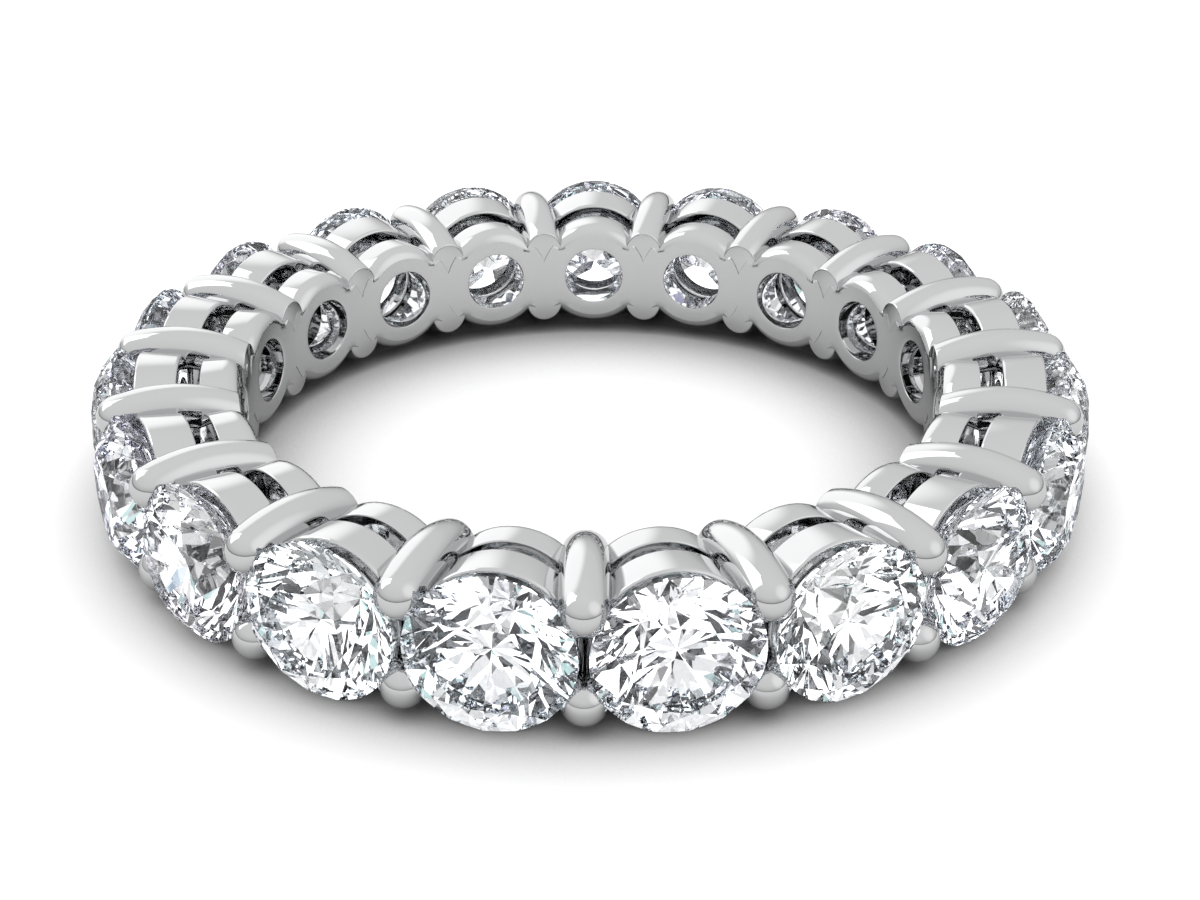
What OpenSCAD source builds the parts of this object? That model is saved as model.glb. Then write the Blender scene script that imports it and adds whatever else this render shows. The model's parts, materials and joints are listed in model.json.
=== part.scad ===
// Shared-prong eternity ring, lying on its side. Z is the finger axis and Z = 0 is the surface it lies on.
// The front of the ring faces -Y, with a pair of prongs there and a stone at the back.

/* [Finger bore] */
// Inside diameter, the finger's size
bore_d = 16.92; // [14:0.02:22]
// Chamfer where the bore meets both faces of the band
bore_edge = 0.15; // [0.03:0.01:0.15]

/* [Stones] */
// Girdle diameter of each round stone
stone_d = 3.58; // [3.2:0.01:4.4]
// Smallest gap between the girdles of two neighbours
stone_gap = 0.15; // [0.05:0.01:0.3]
// Thickness of the girdle where it is thickest
girdle_t = 0.11; // [0.1:0.01:0.2]
// Width of the table, corner to corner, as a percentage of the girdle diameter
table_share = 57; // [52:1:64]
// Slope of the large crown facets in degrees
crown_angle = 34.5; // [30:0.5:37]
// Length of the star facets as a percentage of the crown's width
star_share = 50; // [40:1:60]
// Slope of the large pavilion facets in degrees
pavilion_angle = 43.5; // [40:0.5:45]
// Length of the lower girdle facets as a percentage of the pavilion's width
lower_share = 77; // [65:1:85]
// Turn about its own axis from each stone to the next, in degrees
stone_turn = 17; // [0:1:45]

/* [Gallery] */
// Height of the inner gallery ring over the finger bore
base_h = 0.9; // [0.5:0.01:1.1]
// Distance from the stone's edge in to the outer wall of the inner ring
base_in = 0.32; // [0.25:0.01:0.5]
// Diameter of the hole in the inner ring
base_hole_d = 1.6; // [1:0.01:2]
// Open gap between the inner ring and the seat ring
gallery_gap = 0.52; // [0.25:0.01:0.8]
// Height of the seat ring
seat_h = 1; // [0.7:0.01:1.3]
// Distance from the stone's edge in to the upper rim of the seat ring
seat_in = 0.1; // [0.04:0.01:0.16]
// Distance that the lower rim of the seat ring lies farther in than the upper one
seat_taper = 0.1; // [0:0.01:0.15]
// Diameter of the opening under the seat
seat_hole_d = 2; // [1.6:0.01:2.3]
// Distance from the top of the seat ring to the girdle's lower edge
seat_drop = 0.42; // [0.3:0.01:0.6]
// Chamfer on the edges of both rings
ring_edge = 0.07; // [0.03:0.01:0.1]

/* [Prongs] */
// Thickness of a prong
prong_d = 1.04; // [0.86:0.01:1.1]
// Depth to which each prong is let into the seat rings on both sides of it
solder = 0.06; // [0.03:0.01:0.12]
// Half the space between the upper and lower prong at the bore
foot_space = 0.22; // [0.1:0.01:0.3]
// Depth to which the ends of the prongs stand back from the finger bore
foot_back = 0.02; // [0.02:0.01:0.1]
// Distance from the lower edge of the seat ring to the crest of a prong's arch
crest_rise = 0.34; // [0.1:0.01:0.6]
// Distance that a prong's tip stands over the girdle's upper edge
prong_hook = 0.37; // [0.25:0.01:0.5]

/* [Fits] */
// Gap between each stone and the metal round it
fit_gap = 0.03; // [0.02:0.005:0.05]

/* [Hidden] */
$fn = 96;
// How far a cut or a bar runs past the surface that ends it
cut_past = 0.15;

bore_r = bore_d / 2;
stone_r = stone_d / 2;
base_r = stone_r - base_in;
seat_top_r = stone_r - seat_in;
seat_low_r = seat_top_r - seat_taper;
prong_r = prong_d / 2;

// Distances from the finger axis
base_top_at = bore_r + base_h;
seat_low_at = base_top_at + gallery_gap;
seat_top_at = seat_low_at + seat_h;
girdle_at = seat_top_at + seat_drop;
girdle_top_at = girdle_at + girdle_t;
base_end_at = sqrt(pow(bore_r, 2) - pow(base_r, 2)) - cut_past;

// As many stones as fit side by side at the girdle's height
stone_count = floor(180 / asin((stone_r + stone_gap / 2) / girdle_top_at));
pitch = 360 / stone_count;

// Each prong's centre line is an arc, let into the seat rings at its crest
seat_mid_r = (seat_low_r + seat_top_r) / 2;
seat_mid_side = (seat_low_at + seat_top_at) / 2 * tan(pitch / 2);
crest_z = sqrt(pow(seat_mid_r + prong_r - solder, 2) - pow(seat_mid_side, 2));
crest_at = seat_low_at + crest_rise;
foot_z = prong_r + foot_space;
arch_run = crest_at - bore_r;
arch_drop = crest_z - foot_z;
arch_r = (pow(arch_run, 2) + pow(arch_drop, 2)) / (2 * arch_drop);
arch_z = crest_z - arch_r;
tip_at = girdle_top_at + prong_hook - prong_r;
tip_angle = acos((tip_at - crest_at) / arch_r);
foot_angle = acos(-(arch_run + cut_past) / (arch_r - prong_r));

// The band lies on whatever reaches farthest down
mid_z = max(stone_r, crest_z + prong_r);

// Round brilliant: each kind of facet stands on eight sides, and the girdle has finer steps
sides = 8;
turn = 360 / sides;
half = turn / 2;
girdle_steps = 4;
girdle_n = 2 * sides * girdle_steps;
table_r = stone_r * table_share / 100;
crown_h = (stone_r - table_r) * tan(crown_angle);
star_r = table_r * cos(half) + (stone_r - table_r * cos(half)) * star_share / 100;
star_h = (stone_r - star_r * cos(half)) * tan(crown_angle);
culet_z = -stone_r * tan(pavilion_angle);
lower_r = stone_r * (1 - lower_share / 100);
lower_z = culet_z + lower_r * cos(half) * tan(pavilion_angle);

// The pocket's wall runs along the steepest line of the pavilion
pocket_r = stone_r + fit_gap;
pocket_slope = -lower_z / (stone_r - lower_r);
pocket_low_at = girdle_at - (pocket_r - seat_hole_d / 2) * pocket_slope;

function stone_name(i) = str("stone_", i < 10 ? "0" : "", i);
// Stone 1 is the first one clockwise from the front prongs, seen from above
function stone_angle(i) = -90 - (i - 0.5) * pitch;
function prong_angle(i) = -90 - i * pitch;

function on_circle(r, angle, z) = [r * cos(angle), r * sin(angle), z];
// Height at x, y of the plane through three points
function plane_z(p, q, s, x, y) =
    let (n = cross(q - p, s - p)) p.z - (n.x * (x - p.x) + n.y * (y - p.y)) / n.z;

// Stands children that are drawn along +Z from the finger axis on the axis of stone i
module on_stone_axis(i) {
    translate([0, 0, mid_z]) rotate([0, 0, stone_angle(i)]) rotate([0, 90, 0]) children();
}

// A round cut along the finger axis, past both faces of the band
module finger_cut(r) {
    translate([0, 0, -cut_past]) cylinder(h = 2 * (mid_z + cut_past), r = r);
}

// The finger's bore, chamfered at both faces of the band
module finger_bore() {
    finger_cut(bore_r);
    for (face = [0, 1])
        translate([0, 0, mid_z]) mirror([0, 0, face]) translate([0, 0, base_r - bore_edge])
            cylinder(h = 2 * bore_edge, r1 = bore_r, r2 = bore_r + 2 * bore_edge);
}

// The inner gallery ring before its hole is cut, with its inner face on the bore
module base_ring(i) {
    difference() {
        on_stone_axis(i) rotate_extrude() polygon([
            [0, base_end_at], [base_r, base_end_at], [base_r, base_top_at - ring_edge],
            [base_r - ring_edge, base_top_at], [0, base_top_at],
        ]);
        finger_bore();
    }
}

// The ring that carries the stone, before its opening is cut
module seat_ring() {
    rotate_extrude() polygon([
        [0, seat_low_at], [seat_low_r - ring_edge, seat_low_at], [seat_low_r, seat_low_at + ring_edge],
        [seat_top_r, seat_top_at - ring_edge], [seat_top_r - ring_edge, seat_top_at], [0, seat_top_at],
    ]);
}

// An arched round bar from just inside the bore to its tip, with a dome on the tip
module prong() {
    translate([crest_at, 0, arch_z]) rotate([90, 0, 0]) rotate([0, 0, tip_angle]) {
        rotate_extrude(angle = foot_angle - tip_angle) translate([arch_r, 0]) circle(prong_r);
        translate([arch_r, 0, 0]) rotate([90, 0, 0])
            rotate_extrude() intersection() {
                circle(prong_r);
                square(prong_r);
            }
    }
}

// The upper and the lower prong between two stones, cut off just short of the bore
module prong_pair(i) {
    difference() {
        translate([0, 0, mid_z]) rotate([0, 0, prong_angle(i)]) {
            prong();
            mirror([0, 0, 1]) prong();
        }
        finger_cut(bore_r + foot_back);
    }
}

// The hole under the stone, the opening of the seat and the room for the stone itself
module stone_pocket() {
    rotate_extrude() polygon([
        [0, base_end_at - cut_past], [base_hole_d / 2, base_end_at - cut_past],
        [base_hole_d / 2, seat_low_at - ring_edge], [seat_hole_d / 2, seat_low_at - ring_edge],
        [seat_hole_d / 2, pocket_low_at], [pocket_r, girdle_at], [pocket_r, girdle_top_at],
        [star_r + fit_gap, girdle_top_at + star_h + fit_gap],
        [table_r + fit_gap, girdle_top_at + crown_h + fit_gap],
        [0, girdle_top_at + crown_h + fit_gap],
    ]);
}

// All the metalwork, soldered into one piece
module setting() {
    color("gainsboro") difference() {
        union() {
            for (i = [1 : stone_count]) {
                base_ring(i);
                on_stone_axis(i) seat_ring();
                prong_pair(i);
            }
        }
        for (i = [1 : stone_count]) on_stone_axis(i) stone_pocket();
    }
}

// A round brilliant with a scalloped girdle. Z = 0 is the girdle's lower edge and the table faces +Z
module brilliant() {
    table = [for (k = [0 : sides - 1]) on_circle(table_r, k * turn, girdle_t + crown_h)];
    star = [for (k = [0 : sides - 1]) on_circle(star_r, k * turn + half, girdle_t + star_h)];
    lower = [for (k = [0 : sides - 1]) on_circle(lower_r, k * turn + half, lower_z)];

    // Each girdle point lies on the plane of the facet that it ends
    function girdle_point(j, tips, z) =
        let (
            facet = floor(j / girdle_steps),
            start = on_circle(stone_r, facet * half, z),
            end = on_circle(stone_r, (facet + 1) * half, z),
            p = on_circle(stone_r, j * 360 / girdle_n, z)
        )
        [p.x, p.y, plane_z(tips[floor(facet / 2)], start, end, p.x, p.y)];
    upper_edge = [for (j = [0 : girdle_n - 1]) girdle_point(j, star, girdle_t)];
    lower_edge = [for (j = [0 : girdle_n - 1]) girdle_point(j, lower, 0)];

    // Where each group of points starts in the whole list
    star_0 = sides;
    upper_0 = star_0 + sides;
    edge_0 = upper_0 + girdle_n;
    lower_0 = edge_0 + girdle_n;
    culet = lower_0 + sides;

    table_face = [[for (k = [sides - 1 : -1 : 0]) k]];
    star_faces = [for (k = [0 : sides - 1]) [k, (k + 1) % sides, star_0 + k]];
    crown_mains = [for (k = [0 : sides - 1])
        [k, star_0 + k, upper_0 + k * 2 * girdle_steps, star_0 + (k + sides - 1) % sides]];
    upper_halves = [for (f = [0 : 2 * sides - 1]) concat(
        [star_0 + floor(f / 2)],
        [for (j = [girdle_steps : -1 : 0]) upper_0 + (f * girdle_steps + j) % girdle_n])];
    girdle_faces = [for (j = [0 : girdle_n - 1])
        [upper_0 + j, upper_0 + (j + 1) % girdle_n, edge_0 + (j + 1) % girdle_n, edge_0 + j]];
    lower_halves = [for (f = [0 : 2 * sides - 1]) concat(
        [lower_0 + floor(f / 2)],
        [for (j = [0 : girdle_steps]) edge_0 + (f * girdle_steps + j) % girdle_n])];
    pavilion_mains = [for (k = [0 : sides - 1])
        [culet, lower_0 + (k + sides - 1) % sides, edge_0 + k * 2 * girdle_steps, lower_0 + k]];

    polyhedron(
        points = concat(table, star, upper_edge, lower_edge, lower, [[0, 0, culet_z]]),
        faces = concat(table_face, star_faces, crown_mains, upper_halves, girdle_faces,
            lower_halves, pavilion_mains)
    );
}

module stone(i) {
    color("aliceblue")
        on_stone_axis(i) translate([0, 0, girdle_at]) rotate([0, 0, i * stone_turn]) brilliant();
}

setting();
for (i = [1 : stone_count])
    stone(i);
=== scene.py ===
import bpy
import bmesh
import json
import math
from mathutils import Matrix, Vector


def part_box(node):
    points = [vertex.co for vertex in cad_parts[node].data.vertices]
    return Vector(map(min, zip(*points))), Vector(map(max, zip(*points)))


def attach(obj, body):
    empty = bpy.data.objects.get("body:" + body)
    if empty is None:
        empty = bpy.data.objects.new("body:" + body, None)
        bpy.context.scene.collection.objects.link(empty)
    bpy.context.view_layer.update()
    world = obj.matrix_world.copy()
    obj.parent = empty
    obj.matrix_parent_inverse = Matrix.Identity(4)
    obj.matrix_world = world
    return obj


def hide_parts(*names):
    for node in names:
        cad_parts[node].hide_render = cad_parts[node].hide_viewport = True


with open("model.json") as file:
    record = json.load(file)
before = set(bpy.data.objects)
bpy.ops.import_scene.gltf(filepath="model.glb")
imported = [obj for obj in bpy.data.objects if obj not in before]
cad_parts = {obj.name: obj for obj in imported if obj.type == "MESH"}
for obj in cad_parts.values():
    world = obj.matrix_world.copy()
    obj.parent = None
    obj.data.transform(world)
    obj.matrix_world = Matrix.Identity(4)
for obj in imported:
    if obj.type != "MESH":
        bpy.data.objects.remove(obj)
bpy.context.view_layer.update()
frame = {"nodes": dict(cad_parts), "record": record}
mm = 0.001

# The ring's own measures, read from the frame
stoneNodes = sorted(name for name in frame["nodes"] if name.startswith("stone_"))
stoneLow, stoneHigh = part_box(stoneNodes[0])
ring = {
    "bore": frame["record"]["mounts"][0]["dims"]["r_mm"] * mm,  # radius of the finger hole
    "stones": len(stoneNodes),
    "stoneRadius": (stoneHigh[2] - stoneLow[2]) / 2,
    "middle": (stoneHigh[2] + stoneLow[2]) / 2,  # height of the band's middle over the table
}
halfPitch = math.pi / ring["stones"]
print("ring read:", ring["stones"], "stones, bore", round(2 * ring["bore"] / mm, 2), "mm")


# Shapes are drawn in the upper right quarter of one bay: X runs outwards from the finger along the
# stone's axis, Y to the next claw and Z up from the middle of the band
roundingSteps = 7  # on each rounded edge
samePoint = 1e-8


def roundedOutline(corners, steps):
    # corners: (x, r, rounding) in order round a closed outline
    points = []
    count = len(corners)
    for i, (x, r, radius) in enumerate(corners):
        here = Vector((x, r))
        before = Vector(corners[i - 1][:2]) - here
        after = Vector(corners[(i + 1) % count][:2]) - here
        if radius == 0:
            points.append(here)
            continue
        opening = before.angle(after)
        reach = radius / math.tan(opening / 2)
        start = here + before.normalized() * reach
        end = here + after.normalized() * reach
        inward = (before.normalized() + after.normalized()).normalized()
        centre = here + inward * radius / math.sin(opening / 2)
        turn = (start - centre).angle_signed(end - centre)
        for k in range(steps + 1):
            spoke = (start - centre).copy()
            spoke.rotate(Matrix.Rotation(-turn * k / steps, 2))
            points.append(centre + spoke)
    return points


def turnedRing(name, outline, segments, bend=None):
    # an outline in (x, r) turned round the X axis
    verts = []
    faces = []
    rows = len(outline)
    for s in range(segments):
        a = 2 * math.pi * s / segments
        for x, r in outline:
            y, z = r * math.sin(a), r * math.cos(a)
            verts.append((bend(x, y, z) if bend else x, y, z))
    for s in range(segments):
        t = (s + 1) % segments
        for k in range(rows):
            n = (k + 1) % rows
            faces.append((s * rows + k, s * rows + n, t * rows + n, t * rows + k))
    return closedMesh(name, verts, faces)


def closedMesh(name, verts, faces):
    mesh = bpy.data.meshes.new(name)
    mesh.from_pydata(verts, [], faces)
    bm = bmesh.new()
    bm.from_mesh(mesh)
    bmesh.ops.remove_doubles(bm, verts=bm.verts, dist=samePoint)
    bmesh.ops.recalc_face_normals(bm, faces=bm.faces)
    bm.to_mesh(mesh)
    bm.free()
    piece = bpy.data.objects.new(name, mesh)
    bpy.context.scene.collection.objects.link(piece)
    return piece


def combine(piece, other, how):
    cut = piece.modifiers.new(how.lower(), "BOOLEAN")
    cut.operation = how
    cut.solver = "MANIFOLD"
    cut.object = other
    bpy.context.view_layer.update()
    applied = bpy.data.meshes.new_from_object(piece.evaluated_get(bpy.context.evaluated_depsgraph_get()))
    piece.modifiers.remove(cut)
    piece.data = applied
    bpy.data.objects.remove(other)
    return piece


# Gallery rings at the finger side, one under each stone
galleryRing = {
    "outer": 1.47 * mm,
    "hole": 0.80 * mm,
    "height": 0.90 * mm,
    "comfort": 0.28 * mm,  # width of the rounded rim where the bore meets both faces of the band
    "rimStart": 0.3,  # sine of the rim's slope at its inner border
    "rimFrom": 0.64,  # height over radius where the rim starts beside the claws, and how fast it grows
    "rimGrows": 0.06,
    "leastRim": 1e-6,
    "slit": 0.05 * mm,  # groove between two neighbours at the middle of the band
    "slitHalf": 0.32 * mm,
    "slitFades": 0.1 * mm,
    "edge": 0.05 * mm,
    "holeEdge": 0.025 * mm,
    "flatRows": 3,
    "rimRows": 8,
    "segments": 56,
}


def makeGalleryRing():
    g = galleryRing
    low, high = ring["bore"], ring["bore"] + g["height"]
    corners = [
        (low, g["hole"], g["holeEdge"]),
        (low, g["outer"], 0),
        (high, g["outer"], g["edge"]),
        (high, g["hole"], g["holeEdge"]),
    ]

    def smooth(t):
        t = max(0, min(1, t))
        return t * t * (3 - 2 * t)

    def followFinger(x, y, z):
        # the inner face is part of the finger's cylinder and its rim curves off at both faces of the band
        # and a little at the slit, the outer face is flat
        share = max(0, min(1, (high - x) / g["height"]))
        r = math.hypot(y, z)
        edge = g["comfort"] * smooth((abs(z) / r - g["rimFrom"]) / g["rimGrows"])
        edge += g["slit"] * smooth((g["slitHalf"] - abs(z)) / g["slitFades"]) + g["leastRim"]
        past = min(1, max(0, r - (g["outer"] - edge)) / edge)
        first = g["rimStart"]
        sine = first + (1 - first) * past
        curveOff = edge * (math.sqrt(1 - first ** 2) - math.sqrt(1 - sine ** 2)) / (1 - first)
        return x + (curveOff - (low - math.sqrt(low ** 2 - y ** 2))) * share

    def rimShare(k):
        # the rim's rows stand at even steps of its slope
        flattest = math.asin(g["rimStart"])
        slope = flattest + (math.pi / 2 - flattest) * k / g["rimRows"]
        return (math.sin(slope) - g["rimStart"]) / (1 - g["rimStart"])

    outline = roundedOutline(corners, roundingSteps)
    # rows on the inner face, with one on the rim's inner border
    start = max(range(len(outline)), key=lambda k: abs(outline[k].y - outline[k - 1].y))
    before, after = outline[start - 1], outline[start]
    border = Vector((low, g["outer"] - g["comfort"]))
    rows = [before.lerp(border, k / g["flatRows"]) for k in range(1, g["flatRows"])]
    rows += [border.lerp(after, rimShare(k)) for k in range(g["rimRows"])]
    outline[start:start] = rows
    return turnedRing("galleryRing", outline, g["segments"], followFinger)


# Seat rings that carry the stones
seatRing = {
    "low": 1.42 * mm,  # above the bore
    "high": 2.42 * mm,
    "lowRadius": 1.59 * mm,
    "highRadius": 1.69 * mm,
    "hole": 1.00 * mm,
    "seatStart": 2.034 * mm,  # where the hole opens into the stone's seat
    "rimInner": 1.40 * mm,
    "rimEdge": 0.02 * mm,
    "edge": 0.08 * mm,
    "holeEdge": 0.06 * mm,
    "segments": 48,
}


def makeSeatRing():
    s = seatRing
    bore = ring["bore"]
    corners = [
        (bore + s["low"], s["hole"], s["holeEdge"]),
        (bore + s["low"], s["lowRadius"], s["edge"]),
        (bore + s["high"], s["highRadius"], s["edge"]),
        (bore + s["high"], s["rimInner"], s["rimEdge"]),
        (bore + s["seatStart"], s["hole"], 0),
    ]
    return turnedRing("seatRing", roundedOutline(corners, roundingSteps), s["segments"])


# Claws: round bars on an arch from the bore to a dome over the stones
claw = {
    "radius": 0.52 * mm,
    "footRadius": 0.505 * mm,
    "crest": 1.76 * mm,  # above the bore
    "crestHeight": 1.1873 * mm,  # above the middle of the band
    "archRadius": 3.6862 * mm,
    "tip": 2.80 * mm,  # centre of the dome, above the bore
    "footBack": 0.02 * mm,
    "footEdge": 0.035 * mm,
    "around": 28,
    "along": 14,
    "footSteps": 5,
    "domeRings": 8,
}


def makeClaw():
    c = claw
    crestAt = ring["bore"] + c["crest"]
    archMiddle = c["crestHeight"] - c["archRadius"]
    tipAngle = math.acos((c["tip"] - c["crest"]) / c["archRadius"])
    footEnd = ring["bore"] + c["footBack"]
    footStart = footEnd + c["footEdge"]
    rows = []

    def onArch(angle, r, theta):
        reach = c["archRadius"] + r * math.cos(theta)
        return (crestAt + reach * math.cos(angle), r * math.sin(theta), archMiddle + reach * math.sin(angle))

    def angleAt(x, r, theta):
        return math.acos((x - crestAt) / (c["archRadius"] + r * math.cos(theta)))

    thetas = [2 * math.pi * k / c["around"] for k in range(c["around"])]
    # rounded end, just short of the bore
    for k in range(c["footSteps"]):
        psi = math.pi / 2 * k / c["footSteps"]
        r = c["footRadius"] - c["footEdge"] * (1 - math.sin(psi))
        x = footEnd + c["footEdge"] * (1 - math.cos(psi))
        rows.append([onArch(angleAt(x, r, t), r, t) for t in thetas])
    # the bar: from a cut square to the bore to one square to the arch
    for k in range(c["along"] + 1):
        share = k / c["along"]
        r = c["footRadius"] + (c["radius"] - c["footRadius"]) * min(1, share * 2)
        row = []
        for t in thetas:
            foot = angleAt(footStart, r, t)
            row.append(onArch(foot + (tipAngle - foot) * share, r, t))
        rows.append(row)
    # the dome
    along = Vector((math.sin(tipAngle), 0, -math.cos(tipAngle)))
    outward = Vector((math.cos(tipAngle), 0, math.sin(tipAngle)))
    centre = Vector((crestAt, 0, archMiddle)) + outward * c["archRadius"]
    for k in range(1, c["domeRings"]):
        psi = math.pi / 2 * k / c["domeRings"]
        r = c["radius"] * math.cos(psi)
        base = centre + along * c["radius"] * math.sin(psi)
        row = []
        for t in thetas:
            row.append(tuple(base + outward * r * math.cos(t) + Vector((0, r * math.sin(t), 0))))
        rows.append(row)

    n = c["around"]
    verts = [p for row in rows for p in row]
    faces = []
    for k in range(len(rows) - 1):
        for j in range(n):
            i = (j + 1) % n
            faces.append((k * n + j, k * n + i, (k + 1) * n + i, (k + 1) * n + j))
    footMiddle = len(verts)
    verts.append(tuple(sum((Vector(p) for p in rows[0]), Vector()) / n))
    tipEnd = len(verts)
    verts.append(tuple(centre + along * c["radius"]))
    last = (len(rows) - 1) * n
    for j in range(n):
        i = (j + 1) % n
        faces.append((footMiddle, i, j))
        faces.append((tipEnd, last + j, last + i))
    piece = closedMesh("claw", verts, faces)
    piece.data.transform(Matrix.Rotation(halfPitch, 4, "Z"))
    return piece


# Room for the stone, cut from the claws beside it
stoneRoom = {
    "gap": 0.03 * mm,
    "girdleLow": 2.84 * mm,  # above the bore
    "girdleHigh": 2.95 * mm,
    "starRadius": 1.366 * mm,
    "starAt": 3.33 * mm,
    "tableRadius": 1.02 * mm,
    "tableAt": 3.52 * mm,
    "segments": 56,
}


def makeStoneRoom():
    r = stoneRoom
    bore = ring["bore"]
    wall = ring["stoneRadius"] + r["gap"]
    outline = [
        (bore + seatRing["seatStart"], 0),
        (bore + seatRing["seatStart"], seatRing["hole"]),
        (bore + r["girdleLow"], wall),
        (bore + r["girdleHigh"], wall),
        (bore + r["starAt"], r["starRadius"] + r["gap"]),
        (bore + r["tableAt"], r["tableRadius"] + r["gap"]),
        (bore + r["tableAt"], 0),
    ]
    return turnedRing("stoneRoom", outline, r["segments"])


def quarterBay():
    # everything of one bay above the band's middle, between the stone's axis and the next claw's
    clawBar = combine(makeClaw(), makeStoneRoom(), "DIFFERENCE")
    quarter = combine(makeGalleryRing(), makeSeatRing(), "UNION")
    quarter = combine(quarter, clawBar, "UNION")
    bm = bmesh.new()
    bm.from_mesh(quarter.data)
    tilt = (-math.sin(halfPitch), math.cos(halfPitch), 0)
    for normal in ((0, 0, -1), (0, -1, 0), tilt):
        bmesh.ops.bisect_plane(
            bm, geom=bm.verts[:] + bm.edges[:] + bm.faces[:], dist=samePoint,
            plane_co=(0, 0, 0), plane_no=normal, clear_outer=True)
    bmesh.ops.triangulate(bm, faces=[f for f in bm.faces if len(f.verts) > 4])
    bm.to_mesh(quarter.data)
    bm.free()
    quarter.name = "settingMetal"
    print("quarter bay:", len(quarter.data.polygons), "faces")
    return quarter


def repeatTree():
    # two mirrored copies make a whole bay, which is set round the finger once for each stone
    tree = bpy.data.node_groups.new("repeatBays", "GeometryNodeTree")
    sockets = tree.interface
    sockets.new_socket("Geometry", in_out="INPUT", socket_type="NodeSocketGeometry")
    sockets.new_socket("Stones", in_out="INPUT", socket_type="NodeSocketInt")
    sockets.new_socket("Middle", in_out="INPUT", socket_type="NodeSocketFloat")
    sockets.new_socket("Weld", in_out="INPUT", socket_type="NodeSocketFloat")
    sockets.new_socket("First Angle", in_out="INPUT", socket_type="NodeSocketFloat")
    sockets.new_socket("Metal", in_out="INPUT", socket_type="NodeSocketMaterial")
    sockets.new_socket("Geometry", in_out="OUTPUT", socket_type="NodeSocketGeometry")
    nodes, links = tree.nodes, tree.links
    given = nodes.new("NodeGroupInput")
    result = nodes.new("NodeGroupOutput")

    def mirrored(source, scale):
        copy = nodes.new("GeometryNodeTransform")
        copy.inputs["Scale"].default_value = scale
        flip = nodes.new("GeometryNodeFlipFaces")
        both = nodes.new("GeometryNodeJoinGeometry")
        links.new(source, copy.inputs["Geometry"])
        links.new(copy.outputs["Geometry"], flip.inputs["Mesh"])
        links.new(source, both.inputs["Geometry"])
        links.new(flip.outputs["Mesh"], both.inputs["Geometry"])
        return both.outputs["Geometry"]

    bay = mirrored(mirrored(given.outputs["Geometry"], (1, -1, 1)), (1, 1, -1))
    line = nodes.new("GeometryNodeMeshLine")
    line.inputs["Offset"].default_value = (0, 0, 0)
    index = nodes.new("GeometryNodeInputIndex")
    pitch = nodes.new("ShaderNodeMath")
    pitch.operation = "DIVIDE"
    pitch.inputs[0].default_value = -2 * math.pi
    angle = nodes.new("ShaderNodeMath")
    angle.operation = "MULTIPLY_ADD"
    turn = nodes.new("ShaderNodeCombineXYZ")
    place = nodes.new("GeometryNodeInstanceOnPoints")
    lift = nodes.new("ShaderNodeCombineXYZ")
    move = nodes.new("GeometryNodeTransform")
    realize = nodes.new("GeometryNodeRealizeInstances")
    weld = nodes.new("GeometryNodeMergeByDistance")
    finish = nodes.new("GeometryNodeSetMaterial")
    links.new(given.outputs["Stones"], line.inputs["Count"])
    links.new(given.outputs["Stones"], pitch.inputs[1])
    links.new(index.outputs["Index"], angle.inputs[0])
    links.new(pitch.outputs["Value"], angle.inputs[1])
    links.new(given.outputs["First Angle"], angle.inputs[2])
    links.new(angle.outputs["Value"], turn.inputs["Z"])
    links.new(line.outputs["Mesh"], place.inputs["Points"])
    links.new(bay, place.inputs["Instance"])
    links.new(turn.outputs["Vector"], place.inputs["Rotation"])
    links.new(given.outputs["Middle"], lift.inputs["Z"])
    links.new(place.outputs["Instances"], move.inputs["Geometry"])
    links.new(lift.outputs["Vector"], move.inputs["Translation"])
    links.new(move.outputs["Geometry"], realize.inputs["Geometry"])
    links.new(realize.outputs["Geometry"], weld.inputs["Geometry"])
    links.new(given.outputs["Weld"], weld.inputs["Distance"])
    links.new(weld.outputs["Geometry"], finish.inputs["Geometry"])
    links.new(given.outputs["Metal"], finish.inputs["Material"])
    links.new(finish.outputs["Geometry"], result.inputs["Geometry"])
    return tree


def applyTree(piece, tree, values):
    # sockets are set by identifier before the piece is first evaluated
    nodes = piece.modifiers.new(tree.name, "NODES")
    nodes.node_group = tree
    for item in tree.interface.items_tree:
        if item.in_out == "INPUT" and item.name in values:
            nodes[item.identifier] = values[item.name]
    bpy.context.view_layer.update()
    made = bpy.data.meshes.new_from_object(piece.evaluated_get(bpy.context.evaluated_depsgraph_get()))
    piece.modifiers.remove(nodes)
    finish = next(value for value in values.values() if isinstance(value, bpy.types.Material))
    made.materials.clear()
    made.materials.append(finish)
    piece.data = made


# Round brilliants, drawn with the girdle's lower edge at 0 and the table up
brilliant = {
    "girdle": 0.11 * mm,
    "table": 0.57,  # of the girdle's width
    "crownAngle": 34.5,
    "star": 0.50,  # of the crown's width
    "pavilionAngle": 43.5,
    "lowerHalf": 0.77,  # of the pavilion's width
    "sides": 8,
    "girdleSteps": 4,
    "distance": 2.84 * mm,  # girdle's lower edge above the bore
    "turn": math.radians(17),  # about its own axis, from each stone to the next
}


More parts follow.
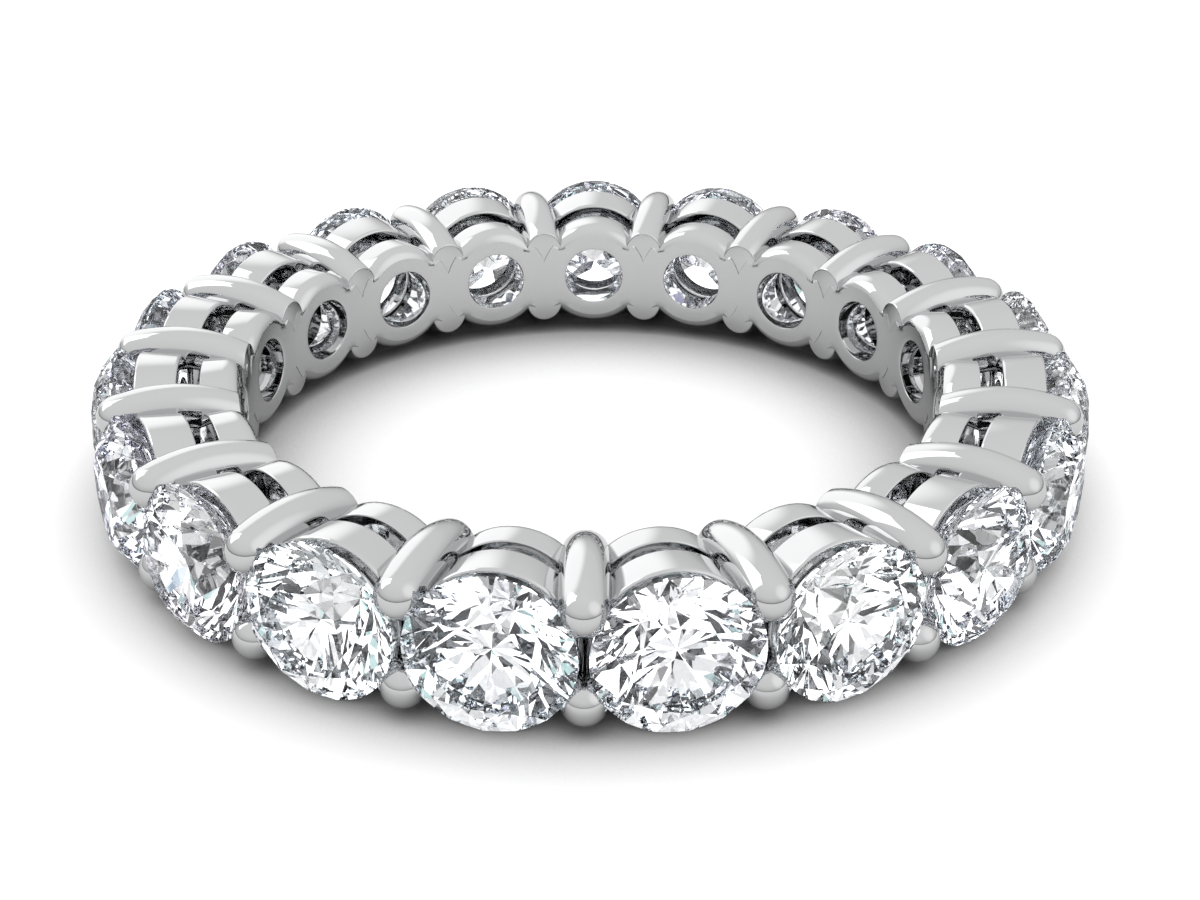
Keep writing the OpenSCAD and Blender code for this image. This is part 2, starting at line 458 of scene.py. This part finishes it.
def makeBrilliant(name):
    b = brilliant
    sides, steps = b["sides"], b["girdleSteps"]
    around = 2 * sides * steps
    full = 2 * math.pi / sides
    half = full / 2
    radius = ring["stoneRadius"]
    crownSlope = math.tan(math.radians(b["crownAngle"]))
    pavilionSlope = math.tan(math.radians(b["pavilionAngle"]))
    tableRadius = radius * b["table"]
    tableHeight = b["girdle"] + (radius - tableRadius) * crownSlope
    tableFlat = tableRadius * math.cos(half)
    starRadius = tableFlat + (radius - tableFlat) * b["star"]
    starHeight = (radius - starRadius * math.cos(half)) * crownSlope
    culet = -radius * pavilionSlope
    lowerRadius = radius * (1 - b["lowerHalf"])
    lowerHeight = culet + lowerRadius * math.cos(half) * pavilionSlope

    def onCircle(r, angle, z):
        return Vector((r * math.cos(angle), r * math.sin(angle), z))

    def girdlePoint(j, tips, z):
        # each point of the girdle lies on the plane of the facet that it ends
        facet = j // steps
        start = onCircle(radius, facet * half, z)
        end = onCircle(radius, (facet + 1) * half, z)
        tip = tips[facet // 2]
        n = (start - tip).cross(end - tip)
        p = onCircle(radius, j * 2 * math.pi / around, z)
        p.z = tip.z - (n.x * (p.x - tip.x) + n.y * (p.y - tip.y)) / n.z
        return p

    tables = [onCircle(tableRadius, k * full, tableHeight) for k in range(sides)]
    stars = [onCircle(starRadius, k * full + half, b["girdle"] + starHeight) for k in range(sides)]
    lowers = [onCircle(lowerRadius, k * full + half, lowerHeight) for k in range(sides)]
    upperEdge = [girdlePoint(j, stars, b["girdle"]) for j in range(around)]
    lowerEdge = [girdlePoint(j, lowers, 0) for j in range(around)]
    verts = [*tables, *stars, *upperEdge, *lowerEdge, *lowers, Vector((0, 0, culet))]
    starStart = sides
    upperStart = 2 * sides
    edgeStart = upperStart + around
    lowerStart = edgeStart + around
    culetAt = lowerStart + sides
    faces = [tuple(range(sides))]
    for k in range(sides):
        faces.append((k, starStart + k, (k + 1) % sides))
        corner = k * 2 * steps
        faces.append((k, starStart + (k - 1) % sides, upperStart + corner, starStart + k))
        faces.append((culetAt, lowerStart + k, edgeStart + corner, lowerStart + (k - 1) % sides))
    for f in range(2 * sides):
        edge = [(f * steps + j) % around for j in range(steps + 1)]
        faces.append((starStart + f // 2, *(upperStart + j for j in edge)))
        faces.append((lowerStart + f // 2, *(edgeStart + j for j in reversed(edge))))
    for j in range(around):
        i = (j + 1) % around
        faces.append((upperStart + j, edgeStart + j, edgeStart + i, upperStart + i))
    return closedMesh(name, verts, faces)


def mathsIn(nodes, links):
    # gives a function that adds one maths node to a tree and returns its result
    def maths(how, *values):
        node = nodes.new("ShaderNodeMath")
        node.operation = how
        for socket, value in zip(node.inputs, values):
            if isinstance(value, (int, float)):
                socket.default_value = value
            else:
                links.new(value, socket)
        return node.outputs["Value"]

    return maths


def stoneTree():
    # one stone, turned about its own axis and stood in its own place round the finger
    tree = bpy.data.node_groups.new("placeStone", "GeometryNodeTree")
    sockets = tree.interface
    sockets.new_socket("Geometry", in_out="INPUT", socket_type="NodeSocketGeometry")
    sockets.new_socket("Number", in_out="INPUT", socket_type="NodeSocketInt")
    sockets.new_socket("Stones", in_out="INPUT", socket_type="NodeSocketInt")
    sockets.new_socket("Own Turn", in_out="INPUT", socket_type="NodeSocketFloat")
    sockets.new_socket("Distance", in_out="INPUT", socket_type="NodeSocketFloat")
    sockets.new_socket("Middle", in_out="INPUT", socket_type="NodeSocketFloat")
    sockets.new_socket("First Angle", in_out="INPUT", socket_type="NodeSocketFloat")
    sockets.new_socket("Stone", in_out="INPUT", socket_type="NodeSocketMaterial")
    sockets.new_socket("Geometry", in_out="OUTPUT", socket_type="NodeSocketGeometry")
    nodes, links = tree.nodes, tree.links
    given = nodes.new("NodeGroupInput")
    result = nodes.new("NodeGroupOutput")
    maths = mathsIn(nodes, links)
    own = nodes.new("ShaderNodeCombineXYZ")
    rise = nodes.new("ShaderNodeCombineXYZ")
    spin = nodes.new("GeometryNodeTransform")
    stand = nodes.new("ShaderNodeCombineXYZ")
    lift = nodes.new("ShaderNodeCombineXYZ")
    place = nodes.new("GeometryNodeTransform")
    realize = nodes.new("GeometryNodeRealizeInstances")
    finish = nodes.new("GeometryNodeSetMaterial")
    pitch = maths("DIVIDE", 2 * math.pi, given.outputs["Stones"])
    step = maths("MULTIPLY", maths("SUBTRACT", given.outputs["Number"], 0.5), pitch)
    links.new(maths("MULTIPLY", given.outputs["Number"], given.outputs["Own Turn"]), own.inputs["Z"])
    links.new(given.outputs["Distance"], rise.inputs["Z"])
    links.new(given.outputs["Geometry"], spin.inputs["Geometry"])
    links.new(own.outputs["Vector"], spin.inputs["Rotation"])
    links.new(rise.outputs["Vector"], spin.inputs["Translation"])
    stand.inputs["Y"].default_value = math.pi / 2  # the table faces away from the finger
    links.new(maths("SUBTRACT", given.outputs["First Angle"], step), stand.inputs["Z"])
    links.new(given.outputs["Middle"], lift.inputs["Z"])
    links.new(spin.outputs["Geometry"], place.inputs["Geometry"])
    links.new(stand.outputs["Vector"], place.inputs["Rotation"])
    links.new(lift.outputs["Vector"], place.inputs["Translation"])
    links.new(place.outputs["Geometry"], realize.inputs["Geometry"])
    links.new(realize.outputs["Geometry"], finish.inputs["Geometry"])
    links.new(given.outputs["Stone"], finish.inputs["Material"])
    links.new(finish.outputs["Geometry"], result.inputs["Geometry"])
    return tree


def setStops(ramp, stops):
    # stops: (position, colour), or (position, grey)
    elements = ramp.color_ramp.elements
    while len(elements) > 1:
        elements.remove(elements[-1])
    for k, (position, colour) in enumerate(stops):
        stop = elements[0] if k == 0 else elements.new(position)
        stop.position = position
        stop.color = colour if isinstance(colour, tuple) else (colour, colour, colour, 1)


# Polished white metal
polish = {
    "colour": (0.61, 0.613, 0.617, 1),
    "roughness": 0.035,
    "wear": 0.03,
    "grain": 900.0,
    "grainDetail": 3,
    "grainLow": 0.35,
    "grainHigh": 0.7,
}


def whiteMetal():
    material = bpy.data.materials.new("polishedWhiteMetal")
    material.use_nodes = True
    nodes, links = material.node_tree.nodes, material.node_tree.links
    shader = nodes["Principled BSDF"]
    shader.inputs["Base Color"].default_value = polish["colour"]
    shader.inputs["Metallic"].default_value = 1
    place = nodes.new("ShaderNodeTexCoord")
    cloud = nodes.new("ShaderNodeTexNoise")
    cloud.inputs["Scale"].default_value = polish["grain"]
    cloud.inputs["Detail"].default_value = polish["grainDetail"]
    spread = nodes.new("ShaderNodeMapRange")
    spread.inputs["From Min"].default_value = polish["grainLow"]
    spread.inputs["From Max"].default_value = polish["grainHigh"]
    spread.inputs["To Min"].default_value = polish["roughness"]
    spread.inputs["To Max"].default_value = polish["roughness"] + polish["wear"]
    links.new(place.outputs["Object"], cloud.inputs["Vector"])
    links.new(cloud.outputs["Fac"], spread.inputs["Value"])
    links.new(spread.outputs["Result"], shader.inputs["Roughness"])
    return material


# Clear stones: colourless, with a breath of blue and violet here and there
clearStone = {
    "index": 2.417,
    "glint": 0.3,  # how much of the surface reflection shows on the outside
    "lightThrough": 0.85,  # share of the light that reaches the table through a stone
    "cloud": 420.0,
    "tints": ((0.36, (1, 1, 1, 1)), (0.5, (0.985, 0.995, 1, 1)), (0.64, (0.99, 0.985, 1, 1))),
}


def diamond():
    material = bpy.data.materials.new("clearStone")
    material.use_nodes = True
    nodes, links = material.node_tree.nodes, material.node_tree.links
    nodes.remove(nodes["Principled BSDF"])
    glass = nodes.new("ShaderNodeBsdfGlass")
    clear = nodes.new("ShaderNodeBsdfRefraction")
    for shader in (glass, clear):
        shader.inputs["Roughness"].default_value = 0
        shader.inputs["IOR"].default_value = clearStone["index"]
    # inside the stone every facet mirrors in full
    side = nodes.new("ShaderNodeNewGeometry")
    glint = nodes.new("ShaderNodeMapRange")
    glint.inputs["To Min"].default_value = clearStone["glint"]
    both = nodes.new("ShaderNodeMixShader")
    links.new(side.outputs["Backfacing"], glint.inputs["Value"])
    links.new(glint.outputs["Result"], both.inputs["Fac"])
    links.new(clear.outputs["BSDF"], both.inputs[1])
    links.new(glass.outputs["BSDF"], both.inputs[2])
    # the table is lit through the stones, so their shadow is pale
    rays = nodes.new("ShaderNodeLightPath")
    through = nodes.new("ShaderNodeMath")
    through.operation = "MULTIPLY"
    through.inputs[1].default_value = clearStone["lightThrough"]
    open = nodes.new("ShaderNodeBsdfTransparent")
    pale = nodes.new("ShaderNodeMixShader")
    links.new(rays.outputs["Is Diffuse Ray"], through.inputs[0])
    links.new(through.outputs["Value"], pale.inputs["Fac"])
    links.new(both.outputs["Shader"], pale.inputs[1])
    links.new(open.outputs["BSDF"], pale.inputs[2])
    place = nodes.new("ShaderNodeTexCoord")
    cloud = nodes.new("ShaderNodeTexNoise")
    cloud.inputs["Scale"].default_value = clearStone["cloud"]
    cloud.inputs["Detail"].default_value = 0
    ramp = nodes.new("ShaderNodeValToRGB")
    setStops(ramp, clearStone["tints"])
    links.new(place.outputs["Object"], cloud.inputs["Vector"])
    links.new(cloud.outputs["Fac"], ramp.inputs["Fac"])
    links.new(ramp.outputs["Color"], glass.inputs["Color"])
    links.new(pale.outputs["Shader"], nodes["Material Output"].inputs["Surface"])
    return material


# The setting
weldDistance = 2e-7
sharpFrom = math.radians(15)  # edges that turn more than this stay crisp
metal = whiteMetal()
setting = quarterBay()
applyTree(setting, repeatTree(), {
    "Stones": ring["stones"],
    "Middle": ring["middle"],
    "Weld": weldDistance,
    "First Angle": math.radians(90),
    "Metal": metal,
})
setting.data.shade_smooth()
setting.data.set_sharp_from_angle(angle=sharpFrom)
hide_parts("setting")
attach(setting, "root")
print("setting:", len(setting.data.vertices), "points,", len(setting.data.polygons), "faces")

# The stones, each a crisp cut piece in the place of its plain one
stoneLook = diamond()
stonePlace = stoneTree()
for number, node in enumerate(stoneNodes, 1):
    stone = makeBrilliant(node.replace("stone", "brilliant"))
    applyTree(stone, stonePlace, {
        "Number": number,
        "Stones": ring["stones"],
        "Own Turn": brilliant["turn"],
        "Distance": ring["bore"] + brilliant["distance"],
        "Middle": ring["middle"],
        "First Angle": math.radians(-90),
        "Stone": stoneLook,
    })
    stone.data.shade_flat()
    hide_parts(node)
    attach(stone, "root")
print("stones:", ring["stones"], "with", len(stone.data.polygons), "facets and girdle faces each")


# The photograph's view
view = {
    "place": (0.548 * mm, -44.758 * mm, 21.802 * mm),  # from the middle of the band
    "down": 0.4748,
    "turn": 0.007,
    "lens": 60.63,
    "sensor": 36,
    "nearest": 0.001,
    "farthest": 10,
}


def placeCamera():
    data = bpy.data.cameras.new("photoCamera")
    data.lens = view["lens"]
    data.sensor_width = view["sensor"]
    data.clip_start = view["nearest"]
    data.clip_end = view["farthest"]
    camera = bpy.data.objects.new("photoCamera", data)
    camera.location = (view["place"][0], view["place"][1], view["place"][2] + ring["middle"])
    camera.rotation_euler = (math.pi / 2 - view["down"], 0, view["turn"])
    bpy.context.scene.collection.objects.link(camera)
    bpy.context.scene.camera = camera


placeCamera()


# A white table top with painted shadow: its colour is darkened close to whatever stands on it
table = {
    "radius": 0.12,
    "segments": 96,
    "paintedShadow": ((0.0, 0.05), (0.66, 0.86), (0.82, 0.95)),  # painted shadow on the table's colour, from boxed in to open above
    "reach": 14.0 * mm,
    "samples": 8,
    "inMirrors": 0.73,  # how bright the metal sees it
    "roughness": 0.9,
}


def makeTable():
    mesh = bpy.data.meshes.new("tableTop")
    bm = bmesh.new()
    bmesh.ops.create_circle(bm, cap_ends=True, segments=table["segments"], radius=table["radius"])
    bm.to_mesh(mesh)
    bm.free()
    top = bpy.data.objects.new("tableTop", mesh)
    bpy.context.scene.collection.objects.link(top)
    paint = bpy.data.materials.new("whiteTable")
    paint.use_nodes = True
    nodes, links = paint.node_tree.nodes, paint.node_tree.links
    shader = nodes["Principled BSDF"]
    # painted shadow: an ambient occlusion ramp darkens the table's base colour near the ring
    near = nodes.new("ShaderNodeAmbientOcclusion")
    near.inputs["Distance"].default_value = table["reach"]
    near.samples = table["samples"]
    shade = nodes.new("ShaderNodeValToRGB")
    setStops(shade, table["paintedShadow"])
    rays = nodes.new("ShaderNodeLightPath")
    mirrored = nodes.new("ShaderNodeMapRange")
    mirrored.inputs["To Min"].default_value = 1
    mirrored.inputs["To Max"].default_value = table["inMirrors"]
    dim = nodes.new("ShaderNodeVectorMath")
    dim.operation = "SCALE"
    links.new(near.outputs["AO"], shade.inputs["Fac"])
    links.new(rays.outputs["Is Glossy Ray"], mirrored.inputs["Value"])
    links.new(shade.outputs["Color"], dim.inputs[0])
    links.new(mirrored.outputs["Result"], dim.inputs["Scale"])
    links.new(dim.outputs["Vector"], shader.inputs["Base Color"])
    shader.inputs["Roughness"].default_value = table["roughness"]
    shader.inputs["Specular IOR Level"].default_value = 0
    mesh.materials.append(paint)


makeTable()

# A white light tent. The table gets an even white dome, the metal a grey one with softboxes and a dark
# line round the horizon, and the stones a patchwork of white, grey and pale cards
studio = {
    "tableLight": 1.42,
    "dome": (
        (0.0, 0.6), (0.48, 0.6), (0.485, 0.03), (0.5, 0.03), (0.506, 0.5), (0.58, 0.75), (0.7, 0.9),
        (1.0, 0.98),
    ),
    "softboxes": (
        # compass angle, half width, low and high (sine of the height), light
        (math.radians(158), math.radians(20), 0.36, 0.86, 2.3),
    ),
    "glows": (
        # direction, where the glow starts and where it is full (cosines), light
        ((-0.45, 0.8, 0.38), 0.84, 0.96, 1.5),
        ((0.75, -0.35, 0.55), 0.8, 1.0, 1.2),
    ),
    "cards": 3.0,  # patches across the sky
    "behind": 0.6,  # how much lighter the cards get on the far side
    "cardShades": (
        (0.0, (0.002, 0.003, 0.006, 1)), (0.28, (0.01, 0.014, 0.03, 1)), (0.34, (0.08, 0.1, 0.17, 1)),
        (0.38, 0.25), (0.41, (0.45, 0.58, 0.72, 1)), (0.44, (0.66, 0.6, 0.88, 1)),
        (0.47, (0.62, 0.86, 0.84, 1)), (0.5, 1.1), (0.58, 1.7), (0.74, 2.2),
    ),
}


def lightStudio():
    world = bpy.data.worlds.new("studio")
    bpy.context.scene.world = world
    world.use_nodes = True
    world.cycles.sampling_method = "NONE"
    nodes, links = world.node_tree.nodes, world.node_tree.links
    background = nodes["Background"]
    place = nodes.new("ShaderNodeTexCoord")
    rays = nodes.new("ShaderNodeLightPath")
    maths = mathsIn(nodes, links)

    def mixed(share, under, over):
        mix = nodes.new("ShaderNodeMix")
        mix.data_type = "RGBA"
        links.new(share, mix.inputs["Factor"])
        for socket, value in ((mix.inputs[6], under), (mix.inputs[7], over)):
            if isinstance(value, (int, float)):
                socket.default_value = (value, value, value, 1)
            else:
                links.new(value, socket)
        return mix.outputs[2]

    split = nodes.new("ShaderNodeSeparateXYZ")
    links.new(place.outputs["Generated"], split.inputs["Vector"])
    height = maths("MULTIPLY_ADD", split.outputs["Z"], 0.5, 0.5)
    dome = nodes.new("ShaderNodeValToRGB")
    setStops(dome, studio["dome"])
    links.new(height, dome.inputs["Fac"])
    sky = dome.outputs["Color"]
    for compass, halfWidth, low, high, light in studio["softboxes"]:
        ahead = nodes.new("ShaderNodeVectorMath")
        ahead.operation = "DOT_PRODUCT"
        ahead.inputs[1].default_value = (math.cos(compass), math.sin(compass), 0)
        aside = nodes.new("ShaderNodeVectorMath")
        aside.operation = "DOT_PRODUCT"
        aside.inputs[1].default_value = (-math.sin(compass), math.cos(compass), 0)
        links.new(place.outputs["Generated"], ahead.inputs[0])
        links.new(place.outputs["Generated"], aside.inputs[0])
        bearing = maths("ARCTAN2", aside.outputs["Value"], ahead.outputs["Value"])
        inWidth = maths("COMPARE", bearing, 0, halfWidth)
        inHeight = maths("COMPARE", split.outputs["Z"], (low + high) / 2, (high - low) / 2)
        sky = mixed(maths("MULTIPLY", inWidth, inHeight), sky, light)
    for direction, start, full, light in studio["glows"]:
        toward = nodes.new("ShaderNodeVectorMath")
        toward.operation = "DOT_PRODUCT"
        toward.inputs[1].default_value = Vector(direction).normalized()
        fade = nodes.new("ShaderNodeMapRange")
        fade.interpolation_type = "SMOOTHSTEP"
        fade.inputs["From Min"].default_value = start
        fade.inputs["From Max"].default_value = full
        links.new(place.outputs["Generated"], toward.inputs[0])
        links.new(toward.outputs["Value"], fade.inputs["Value"])
        sky = mixed(fade.outputs["Result"], sky, light)
    patches = nodes.new("ShaderNodeTexVoronoi")
    patches.inputs["Scale"].default_value = studio["cards"]
    pick = nodes.new("ShaderNodeSeparateColor")
    cards = nodes.new("ShaderNodeValToRGB")
    cards.color_ramp.interpolation = "CONSTANT"
    setStops(cards, studio["cardShades"])
    links.new(place.outputs["Generated"], patches.inputs["Vector"])
    links.new(patches.outputs["Color"], pick.inputs["Color"])
    far = maths("MAXIMUM", split.outputs["Y"], 0)
    lighter = maths("MULTIPLY_ADD", far, studio["behind"], pick.outputs["Red"])
    links.new(lighter, cards.inputs["Fac"])
    light = mixed(rays.outputs["Is Transmission Ray"], sky, cards.outputs["Color"])
    light = mixed(rays.outputs["Is Diffuse Ray"], light, studio["tableLight"])
    light = mixed(rays.outputs["Is Camera Ray"], light, 1.0)
    links.new(light, background.inputs["Color"])
    background.inputs["Strength"].default_value = 1


lightStudio()
bpy.context.scene.view_settings.view_transform = "Standard"
cycles = bpy.context.scene.cycles
cycles.max_bounces = 32
cycles.transmission_bounces = 32
cycles.glossy_bounces = 32
cycles.diffuse_bounces = 2
cycles.caustics_reflective = False
cycles.caustics_refractive = False
print("camera, table and studio placed")
